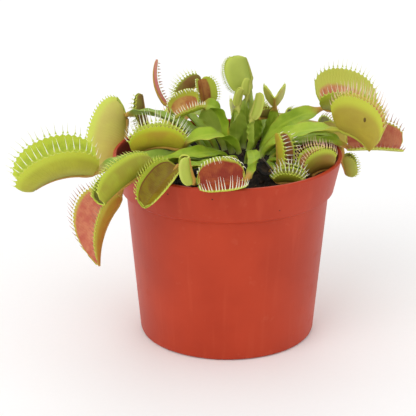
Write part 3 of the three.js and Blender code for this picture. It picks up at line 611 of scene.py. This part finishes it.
# Modelling
def clear_selection():
    if bpy.context.object and bpy.context.object.mode != "OBJECT":
        to_object()
    bpy.ops.object.select_all(action="DESELECT")


def to_object():
    """Goes back into object mode."""
    bpy.ops.object.mode_set(mode="OBJECT")


def edit_all():
    """Goes into edit mode with everything selected."""
    bpy.ops.object.mode_set(mode="EDIT")
    bpy.ops.mesh.select_all(action="SELECT")


def select_only(*pieces):
    clear_selection()
    for piece in pieces:
        piece.select_set(True)
    bpy.context.view_layer.objects.active = pieces[0]


def join(*pieces):
    select_only(*pieces)
    bpy.ops.object.join()
    return pieces[0]


def merge_doubles(piece):
    select_only(piece)
    edit_all()
    bpy.ops.mesh.remove_doubles(threshold=0.001 * MM)
    bpy.ops.mesh.normals_make_consistent(inside=False)
    to_object()


def apply_modifier(piece, kind, **settings):
    select_only(piece)
    modifier = piece.modifiers.new(kind.title(), kind)
    for key, value in settings.items():
        setattr(modifier, key, value)
    bpy.ops.object.modifier_apply(modifier=modifier.name)


def smooth(piece, degrees=50):
    select_only(piece)
    bpy.ops.object.shade_smooth_by_angle(angle=math.radians(degrees))


def wear(piece, *finishes):
    """Gives a piece its materials, in the order of its slots."""
    for finish in finishes:
        piece.data.materials.append(finish)
    return piece


def place_piece(piece, name, node):
    """Names a finished piece, which rides on the root and stands for its node."""
    piece.name = name
    piece.data.name = name
    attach(piece, "root")
    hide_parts(node)


def set_marks(mesh, marks):
    """Writes each named list of numbers as an attribute of the mesh's points."""
    for key, values in marks.items():
        mesh.attributes.new(key, "FLOAT", "POINT").data.foreach_set("value", values)


def mapped_grid(columns, rows, place):
    """A primitive grid whose point in each column and row goes where place(column, row) says, with
    its marks."""
    clear_selection()
    bpy.ops.mesh.primitive_grid_add(x_subdivisions=columns, y_subdivisions=rows, size=2)
    piece = bpy.context.object
    marks = {key: [] for key in MARKS}
    for vertex in piece.data.vertices:
        column = round((vertex.co.x + 1) / 2 * columns)
        row = round((vertex.co.y + 1) / 2 * rows)
        point, along, across = place(column, row)
        vertex.co = point * MM
        marks["along"].append(along)
        marks["across"].append(across)
        marks["reach"].append(0)
    set_marks(piece.data, marks)
    return piece


def add_object(name, data):
    made = bpy.data.objects.new(name, data)
    bpy.context.collection.objects.link(made)
    return made


def template(make):
    """The points and faces of a primitive that make() adds and shapes, to be copied many times."""
    clear_selection()
    make()
    piece = bpy.context.object
    points = [vertex.co.copy() for vertex in piece.data.vertices]
    faces = [tuple(face.vertices) for face in piece.data.polygons]
    bpy.data.objects.remove(piece)
    return points, faces


def stamped(name, source, stamps):
    """One mesh of many copies of a template. Each stamp turns a template point into its place and
    its marks."""
    points, faces = source
    all_points = []
    all_faces = []
    marks = {key: [] for key in MARKS}
    for stamp in stamps:
        first = len(all_points)
        for point in points:
            place, along, reach = stamp(point)
            all_points.append(place * MM)
            marks["along"].append(along)
            marks["across"].append(1)
            marks["reach"].append(reach)
        all_faces += [tuple(first + corner for corner in face) for face in faces]
    mesh = bpy.data.meshes.new(name)
    mesh.from_pydata(all_points, [], all_faces)
    set_marks(mesh, marks)
    return add_object(name, mesh)


def turned(sides, rings):
    """A closed body turned about +Z: the first circle is filled, then its edge is extruded and scaled
    from ring to ring, and the last ring is filled."""
    (radius, height), *others = rings
    clear_selection()
    bpy.ops.mesh.primitive_circle_add(vertices=sides, radius=radius * MM, location=(0, 0, height * MM))
    piece = bpy.context.object
    bpy.ops.object.transform_apply(location=True)
    edit_all()
    bpy.ops.mesh.edge_face_add()
    bpy.ops.mesh.select_all(action="DESELECT")
    to_object()
    for edge in piece.data.edges:
        edge.select = True
    bpy.ops.object.mode_set(mode="EDIT")
    for next_radius, next_height in others:
        move = {"value": (0, 0, (next_height - height) * MM)}
        bpy.ops.mesh.extrude_edges_move(TRANSFORM_OT_translate=move)
        scale = next_radius / radius
        bpy.ops.transform.resize(value=(scale, scale, 1), center_override=(0, 0, next_height * MM))
        radius, height = next_radius, next_height
    bpy.ops.mesh.edge_face_add()
    bpy.ops.mesh.select_all(action="SELECT")
    bpy.ops.mesh.normals_make_consistent(inside=False)
    to_object()
    return piece


# Leaves
class Trap:
    """The curved midrib of a leaf's trap and the two lobes that stand on it."""

    def __init__(self, leaf):
        self.leaf = leaf
        self.neck = Vector(leaf["neck"])
        chord = Vector(leaf["tip"]) - self.neck
        self.along = chord.normalized()
        mouth = Vector(leaf["mouth"])
        self.mouth = (mouth - self.along * mouth.dot(self.along)).normalized()
        self.across = self.along.cross(self.mouth)
        self.bend = math.radians(leaf["arch"])
        self.length = chord.length * self.bend / 2 / math.sin(self.bend / 2)

    def spine(self, u):
        """A point of the midrib, from 0 at the neck to 1 at the tip, with the ways on and out."""
        radius = self.length / self.bend
        turn = self.bend / 2 - self.bend * u
        on = radius * (math.sin(self.bend / 2) - math.sin(turn))
        out = radius * (math.cos(turn) - math.cos(self.bend / 2))
        point = self.neck + self.along * on + self.mouth * out
        ahead = self.along * math.cos(turn) + self.mouth * math.sin(turn)
        outward = self.mouth * math.cos(turn) - self.along * math.sin(turn)
        return point, ahead, outward

    def lobe(self, u, v, side):
        """A point of a lobe's inner skin, v from 0 at the midrib to 1 at the margin, with the way to
        its back there, the way that the lobe rises and the lobe's angle from it."""
        point, ahead, outward = self.spine(u)
        back_lean, on_lean = self.leaf["lean"]
        lean = math.radians(mix(-back_lean, on_lean, u))
        rise = outward * math.cos(lean) + ahead * math.sin(lean)
        fullness = math.sqrt(max(0, 1 - abs(2 * u - 1) ** LOBE_SQUARENESS))
        height = self.leaf["lobe"] * mix(self.leaf["ends"], 1, fullness)
        start, end = (math.radians(angle) for angle in self.leaf["gape"])
        turn = end - start
        angle = start + turn * v
        up = height * (math.sin(angle) - math.sin(start)) / turn
        sideways = side * height * (math.cos(start) - math.cos(angle)) / turn
        place = point + rise * up + self.across * sideways
        back = self.across * side * math.cos(angle) - rise * math.sin(angle)
        return place, back, rise, angle


def hair_place(index, count):
    """Where along the margin a cilium stands, from 0 to 1."""
    return HAIR_START + (index + 0.5) * HAIR_SPAN / count


def trap_sheet(leaf, trap, draw, finishes):
    """Both lobes as one sheet from margin to margin, thickened to the back."""
    hairs = leaf["hairs"]
    columns = COLUMNS_PER_HAIR * hairs + 2 if hairs else PLAIN_COLUMNS
    shift = draw.uniform(0, 50)

    def column_place(column):
        if not hairs or column in (0, columns):
            return column / columns
        return HAIR_START + HAIR_SPAN * (column - 1) / (columns - 2)

    def place(column, row):
        u = column_place(column)
        across = (row - LOBE_ROWS) / LOBE_ROWS
        side = 1 if across >= 0 else -1
        v = abs(across)
        point, back, rise, angle = trap.lobe(u, v, side)
        if v == 0:
            return point, u, 0
        edge = ease((v - FLARE_FROM) / FLARE_SPAN)
        ripple = wave_noise(point + Vector((shift, 0, 0)), RIPPLE_SIZE) * RIPPLE * v
        point = point + back * (MARGIN_FLARE * edge + ripple)
        if hairs:
            phase = math.cos(2 * math.pi * (u - hair_place(0, hairs)) * hairs / HAIR_SPAN)
            on = rise * math.cos(angle) + trap.across * side * math.sin(angle)
            point = point + on * (SCALLOP * edge * (phase - 1.4))
        return point, u, v

    sheet = mapped_grid(columns, 2 * LOBE_ROWS, place)
    wear(sheet, *finishes)
    apply_modifier(sheet, "SOLIDIFY", thickness=LOBE_THICKNESS * MM, offset=1, material_offset=1,
                   material_offset_rim=2)
    return sheet


def make_hair():
    """A straight cilium of length and radius 1, cut across so that it can bend."""
    bpy.ops.mesh.primitive_cone_add(vertices=5, radius1=1, radius2=0.2, depth=1, location=(0, 0, 0.5))
    bpy.ops.object.transform_apply(location=True)
    bpy.ops.object.mode_set(mode="EDIT")
    for cut in HAIR_CUTS:
        bpy.ops.mesh.select_all(action="SELECT")
        bpy.ops.mesh.bisect(plane_co=(0, 0, cut), plane_no=(0, 0, 1))
    to_object()


HAIR = template(make_hair)


def hair_stamp(trap, leaf, u, side, draw):
    """Bends the straight cilium so that it leaves the margin outwards and curls in over the mouth."""
    place, back, rise, angle = trap.lobe(u, 1, side)
    root = place + back * (LOBE_THICKNESS / 2 + MARGIN_FLARE)
    length = leaf["hair"] * (0.34 + 0.66 * math.sin(math.pi * u)) * draw.uniform(*HAIR_LENGTHS)
    turn_out, turn_in = leaf["comb"][0 if side > 0 else 1]
    start = angle + math.radians(turn_out + draw.uniform(-HAIR_STRAY, HAIR_STRAY))
    curl = math.radians(turn_in + draw.uniform(-CURL_STRAY, CURL_STRAY))
    _, ahead, _ = trap.spine(u)
    stray = math.radians(draw.uniform(-HAIR_STRAY, HAIR_STRAY)) * math.sin(math.pi * u)
    rise = rise * math.cos(stray) + ahead * math.sin(stray)
    width = min(HAIR_WIDTH, 0.06 * leaf["hair"] + 0.08)

    def stamp(point):
        t = point.z
        up = length * (math.sin(start) - math.sin(start - curl * t)) / curl
        sideways = length * (math.cos(start - curl * t) - math.cos(start)) / curl
        now = start - curl * t
        spread = mix(HAIR_ROOT, 1, ease(t / 0.2))
        outward = trap.across * side * math.cos(now) - rise * math.sin(now)
        centre = root + rise * up + trap.across * side * sideways
        taper = mix(1, HAIR_TIP, t)
        across = ahead * point.x * width * spread * taper + outward * point.y * width * taper
        return centre + across, u, t

    return stamp


def hair_fringe(leaf, trap, draw):
    stamps = []
    for side in (1, -1):
        for index in range(leaf["hairs"]):
            u = hair_place(index, leaf["hairs"]) + draw.uniform(-0.15, 0.15) * HAIR_SPAN / leaf["hairs"]
            stamps.append(hair_stamp(trap, leaf, u, side, draw))
    return stamped("fringe", HAIR, stamps)


def ground_at(x, y):
    """The peat's height, heaped round the crown."""
    heap = MOUND * ease(1 - math.hypot(x - CROWN.x, y - CROWN.y) / MOUND_SPREAD)
    lump = math.sin(0.31 * x + 1.3) * math.cos(0.27 * y) + 0.6 * math.sin(0.63 * x - 0.52 * y)
    return SOIL_TOP + heap + SOIL_RELIEF * lump


def stalk_tube(leaf, trap, draw):
    """The winged stalk as one closed skin from its foot in the peat, over its neck, and on behind
    the trap as its midrib."""
    turn = math.radians(leaf["stand"][0])
    radial = round_axis(1, turn)
    foot = CROWN + radial * leaf["stand"][1]
    foot.z = ground_at(foot.x, foot.y)
    above = foot + UP * leaf["rise"] + radial * leaf["rise"] * FOOT_LEAN
    knots = (foot, above, Vector(leaf["via"]), trap.neck)
    sideways = Vector((math.sin(turn), -math.cos(turn), 0))
    end_across = trap.across if trap.across.dot(sideways) >= 0 else -trap.across
    last = STALK_STEPS + KEEL_STEPS + 1
    shift = draw.uniform(0, 6)

    def curve(t):
        a, b, c, d = knots
        s = 1 - t
        point = a * s ** 3 + b * 3 * s * s * t + c * 3 * s * t * t + d * t ** 3
        ahead = (b - a) * s * s + (c - b) * 2 * s * t + (d - c) * t * t
        return point, ahead.normalized()

    def section(step):
        """Centre, way across, way up, half width and how much it is a blade, at one step."""
        if step <= 1:
            return foot - UP * FOOT_DEPTH, sideways, radial * -1, FOOT_RADIUS * 0.9 * step, 0
        if step > STALK_STEPS:
            u = min(1, (step - STALK_STEPS) / KEEL_STEPS) * KEEL_END
            point, ahead, outward = trap.spine(u)
            half = mix(mix(NECK_RADIUS, 0.7, ease(u / 0.2)), 0.3, u) if step < last else 0
            sink = (half + 0.05) * ease(u / 0.12)
            return point - outward * sink, end_across, end_across.cross(ahead), half, 0
        t = (step - 2) / (STALK_STEPS - 2)
        point, ahead = curve(t)
        spread = ease((t - 0.05) / 0.5) * (1 - ease((t - 0.8) / 0.18))
        half = mix(mix(FOOT_RADIUS, NECK_RADIUS, t), leaf["blade"] / 2, spread)
        half *= 1 + BLADE_WAVE * spread * math.sin(19 * t + shift)
        across = sideways.lerp(end_across, ease(t * t))
        across = (across - ahead * across.dot(ahead)).normalized()
        up = across.cross(ahead)
        roll = math.radians(leaf["twist"]) * math.sin(math.pi * t)
        rolled = across * math.cos(roll) + up * math.sin(roll)
        up = up * math.cos(roll) - across * math.sin(roll)
        return point, rolled, up, half, clamp(spread * 1.6)

    sections = [section(step) for step in range(last + 1)]

    def place(column, row):
        centre, across, up, half, blade = sections[column]
        round_turn = 2 * math.pi * row / STALK_ROUND
        side = math.cos(round_turn)
        over = math.sin(round_turn)
        rib = math.exp(-(side * half / RIB_WIDTH) ** 2)
        thick = mix(BLADE_EDGE / 2, BLADE_RIB if over < 0 else RIB_TOP, rib)
        wing = BLADE_FOLD * half * abs(side) ** 1.3
        ruffle = RUFFLE * blade * side * side * math.sin(0.9 * column + 4 * side + shift)
        blade_lift = wing + ruffle + thick * math.copysign(abs(over) ** 0.5, over)
        lift = mix(half * over, blade_lift, blade)
        along = min(1, column / STALK_STEPS)
        return centre + across * half * side + up * lift, along, side

    tube = mapped_grid(last, STALK_ROUND, place)
    merge_doubles(tube)
    return tube


def make_leaf(row, number):
    leaf = {**PLAIN_LEAF, **row}
    draw = random.Random(LEAF_SEED + number)
    trap = Trap(leaf)
    outside, inside, hairs, stalk = (FINISHES[kind] for kind in leaf["look"])
    dead = outside == FINISHES["dead"]
    rim = outside if dead else FINISHES["rim"]
    sheet = trap_sheet(leaf, trap, draw, (outside, inside, rim))
    parts = [sheet, wear(stalk_tube(leaf, trap, draw), stalk)]
    if leaf["hairs"]:
        parts.append(wear(hair_fringe(leaf, trap, draw), hairs))
    whole = join(*parts)
    smooth(whole)
    place_piece(whole, leaf["name"], "leaf_" + leaf["name"])


# Pot
def make_pot():
    rings = [
        (CENTRE_PAD_RADIUS, 0),
        (CENTRE_PAD_RADIUS + 1, BASE_RAISE),
        (FOOT_RING_INNER - 1, BASE_RAISE),
        (FOOT_RING_INNER, 0),
        (POT_FOOT_RADIUS - 1.3, 0),
        (POT_FOOT_RADIUS - 0.4, 0.45),
        (POT_FOOT_RADIUS, 1.6),
        (BODY_TOP, LIP_FOOT - 1.4),
        (LIP_LOW, LIP_FOOT),
        (POT_RIM_RADIUS - 0.1, POT_HEIGHT - 0.9),
        (POT_RIM_RADIUS, POT_HEIGHT - 0.5),
        (POT_RIM_RADIUS - 0.4, POT_HEIGHT),
        (POT_RIM_RADIUS - POT_WALL, POT_HEIGHT),
        (LIP_LOW - POT_WALL, LIP_FOOT + 1),
        (BODY_TOP - POT_WALL, LIP_FOOT - 1),
        (POT_FOOT_RADIUS - POT_WALL, BASE_RAISE + POT_WALL),
    ]
    pot = turned(POT_SIDES, rings)
    cutters = []
    for index in range(DRAIN_HOLES):
        spot = round_axis(DRAIN_CIRCLE, math.radians(HOLE_TURN + 360 / DRAIN_HOLES * index)) * MM
        clear_selection()
        bpy.ops.mesh.primitive_cylinder_add(vertices=HOLE_SIDES, radius=DRAIN_RADIUS * MM,
                                            depth=HOLE_CUT * MM, location=spot)
        cutters.append(bpy.context.object)
    notch = 2 * POT_FOOT_RADIUS * math.sin(math.radians((360 / FEET - FOOT_TURN) / 2))
    for index in range(FEET):
        turn = math.radians(NOTCH_TURN + 360 / FEET * (index + 0.5))
        spot = round_axis(POT_FOOT_RADIUS, turn) * MM
        clear_selection()
        bpy.ops.mesh.primitive_cube_add(size=1, location=spot, rotation=(0, 0, turn))
        bpy.context.object.scale = (NOTCH_CUT * MM, notch * MM, 2 * FOOT_NOTCH * MM)
        cutters.append(bpy.context.object)
    cutter = join(*cutters)
    apply_modifier(pot, "BOOLEAN", operation="DIFFERENCE", object=cutter, solver="EXACT", use_self=True)
    bpy.data.objects.remove(cutter)
    apply_modifier(pot, "BEVEL", width=POT_BEVEL * MM, segments=2, limit_method="ANGLE",
                   angle_limit=math.radians(BEVEL_FROM))
    smooth(pot, 35)

    def is_inner(spot):
        """1 on the wall's inside, which the finish darkens with peat stain and painted shade."""
        if spot.z < BASE_RAISE + POT_WALL - 0.1:
            return 0.0
        if spot.z > LIP_FOOT - 0.5:
            outer = mix(LIP_LOW, POT_RIM_RADIUS, (spot.z - LIP_FOOT) / LIP_HEIGHT)
        else:
            outer = mix(POT_FOOT_RADIUS, BODY_TOP, spot.z / LIP_FOOT)
        return 1.0 if math.hypot(spot.x, spot.y) < outer - POT_WALL / 2 else 0.0

    set_marks(pot.data, {"inner": [is_inner(vertex.co / MM) for vertex in pot.data.vertices]})
    place_piece(wear(pot, pot_plastic()), "pot_shell", "pot")


# Peat
def make_crumb():
    """A ball of radius 1, which each crumb squashes and lumps in its own way."""
    bpy.ops.mesh.primitive_ico_sphere_add(subdivisions=2, radius=1)


def peat_spot(draw, reach):
    """A spot drawn from the peat's round top, out to that reach."""
    turn = draw.uniform(0, 2 * math.pi)
    reach *= math.sqrt(draw.random())
    return reach * math.cos(turn), reach * math.sin(turn)


def crumb_stamp(draw):
    x, y = peat_spot(draw, CRUMB_REACH)
    size = draw.choice(CRUMB_SIZES)
    centre = Vector((x, y, ground_at(x, y) + 0.15 * size))
    squash = Vector((draw.uniform(0.7, 1.2), draw.uniform(0.7, 1.2), draw.uniform(0.45, 0.8)))
    shift = Vector((draw.uniform(0, 90), 0, 0))

    def stamp(point):
        lump = 1 + 0.45 * noise.noise(point * 1.4 + shift)
        body = Vector(point[axis] * squash[axis] for axis in range(3))
        return centre + body * size * lump, 0, 0

    return stamp


def fibre_stamp(draw):
    x, y = peat_spot(draw, FIBRE_REACH)
    heading = draw.uniform(0, 2 * math.pi)
    ahead = round_axis(1, heading)
    aside = Vector((-ahead.y, ahead.x, 0))
    length = draw.uniform(2, 6)
    bow = draw.uniform(-0.8, 0.8)
    width = draw.uniform(0.1, 0.22)

    def stamp(point):
        t = point.z
        spot = Vector((x, y, 0)) + ahead * length * (t - 0.5) + aside * bow * math.sin(math.pi * t)
        spot.z = ground_at(spot.x, spot.y) + 0.35
        return spot + aside * point.x * width + UP * point.y * width, 0, t

    return stamp


def make_peat():
    inner_low = POT_FOOT_RADIUS - POT_WALL - 0.5
    bottom = BASE_RAISE + POT_WALL + PEAT_GAP
    rings = [
        (inner_low - 1, bottom),
        (inner_low, bottom + 0.6),
        (BODY_TOP - POT_WALL - 0.4, LIP_FOOT - 2),
        (BODY_TOP + 0.6, SOIL_TOP - 1),
    ]
    rings += [((BODY_TOP + 0.4) * (1 - index / SOIL_RINGS), SOIL_TOP) for index in range(SOIL_RINGS)]
    peat = turned(SOIL_SIDES, rings)
    for vertex in peat.data.vertices:
        spot = vertex.co / MM
        if spot.z < SOIL_TOP - 0.1:
            continue
        rough = 0.45 * wave_noise(spot, 2.4) + 0.22 * wave_noise(spot, 1.0)
        vertex.co.z = (ground_at(spot.x, spot.y) + rough) * MM
    set_marks(peat.data, {key: [0.0] * len(peat.data.vertices) for key in MARKS})
    draw = random.Random(PEAT_SEED)
    crumb = template(make_crumb)
    crumbs = stamped("crumbs", crumb, [crumb_stamp(draw) for _ in range(CRUMBS)])
    fibres = stamped("fibres", HAIR, [fibre_stamp(draw) for _ in range(FIBRES)])
    wear(peat, peat_crumb("peat", (24, 17, 13), (52, 37, 27)))
    wear(crumbs, peat_crumb("crumb", (30, 21, 15), (70, 50, 35)))
    wear(fibres, peat_crumb("fibre", (84, 60, 40), (120, 92, 62)))
    whole = join(peat, crumbs, fibres)
    smooth(whole, 60)
    place_piece(whole, "peat_fill", "peat")


def make_crown():
    """The rhizome's top, wrapped in the pale scales that old leaves leave behind."""
    clear_selection()
    bpy.ops.mesh.primitive_uv_sphere_add(segments=40, ring_count=24, radius=1)
    crown = bpy.context.object
    middle = (RHIZOME_TOP + RHIZOME_BOTTOM) / 2
    half = (RHIZOME_TOP - RHIZOME_BOTTOM) / 2
    for vertex in crown.data.vertices:
        turn = math.atan2(vertex.co.y, vertex.co.x)
        scale = 0.93 + SCALE_DEPTH * math.cos(turn * CROWN_SCALES + vertex.co.z * 5)
        width = RHIZOME_RADIUS * scale
        spot = Vector((vertex.co.x * width, vertex.co.y * width, vertex.co.z * half))
        vertex.co = (CROWN + UP * middle + spot) * MM
    smooth(crown, 60)
    place_piece(wear(crown, crown_skin()), "crown", "rhizome")


# Surroundings
def make_stage():
    clear_selection()
    bpy.ops.mesh.primitive_plane_add(size=6)
    floor = bpy.context.object
    floor.name = "floor"
    finish = Finish("paper")
    grain = finish.noise(2, detail=2)
    colour = finish.blend(grain, (250, 250, 250), (253, 253, 253))
    floor.data.materials.append(finish.done(colour, 0.9 + grain * 0.05, finish.bump(grain, 0.02)))
    world = bpy.data.worlds.new("studio")
    world.use_nodes = True
    world.node_tree.nodes["Background"].inputs["Color"].default_value = (1, 1, 1, 1)
    world.node_tree.nodes["Background"].inputs["Strength"].default_value = WORLD_LIGHT
    bpy.context.scene.world = world


def add_lamp(name, place, aim, size, power):
    light = bpy.data.lights.new(name, "AREA")
    light.size = size
    light.energy = power
    lamp = add_object(name, light)
    lamp.location = place
    lamp.rotation_euler = (Vector(aim) - Vector(place)).to_track_quat("-Z", "Y").to_euler()


def add_camera():
    data = bpy.data.cameras.new("camera")
    data.sensor_width = SENSOR_WIDTH
    data.lens = FOCAL_PIXELS / PHOTO_PIXELS * SENSOR_WIDTH
    data.clip_start = 0.01
    camera = add_object("camera", data)
    pitch = math.radians(CAMERA_PITCH)
    back = Vector((0, -math.cos(pitch), math.sin(pitch)))
    camera.location = (CAMERA_TARGET + back * CAMERA_DISTANCE) * MM
    camera.rotation_euler = (-back).to_track_quat("-Z", "Y").to_euler()
    bpy.context.scene.camera = camera


add_camera()
make_pot()
make_peat()
make_crown()
for number, row in enumerate(LEAVES):
    make_leaf(row, number)
make_stage()
for lamp in LAMPS:
    add_lamp(*lamp)
bpy.context.scene.view_settings.view_transform = "Standard"
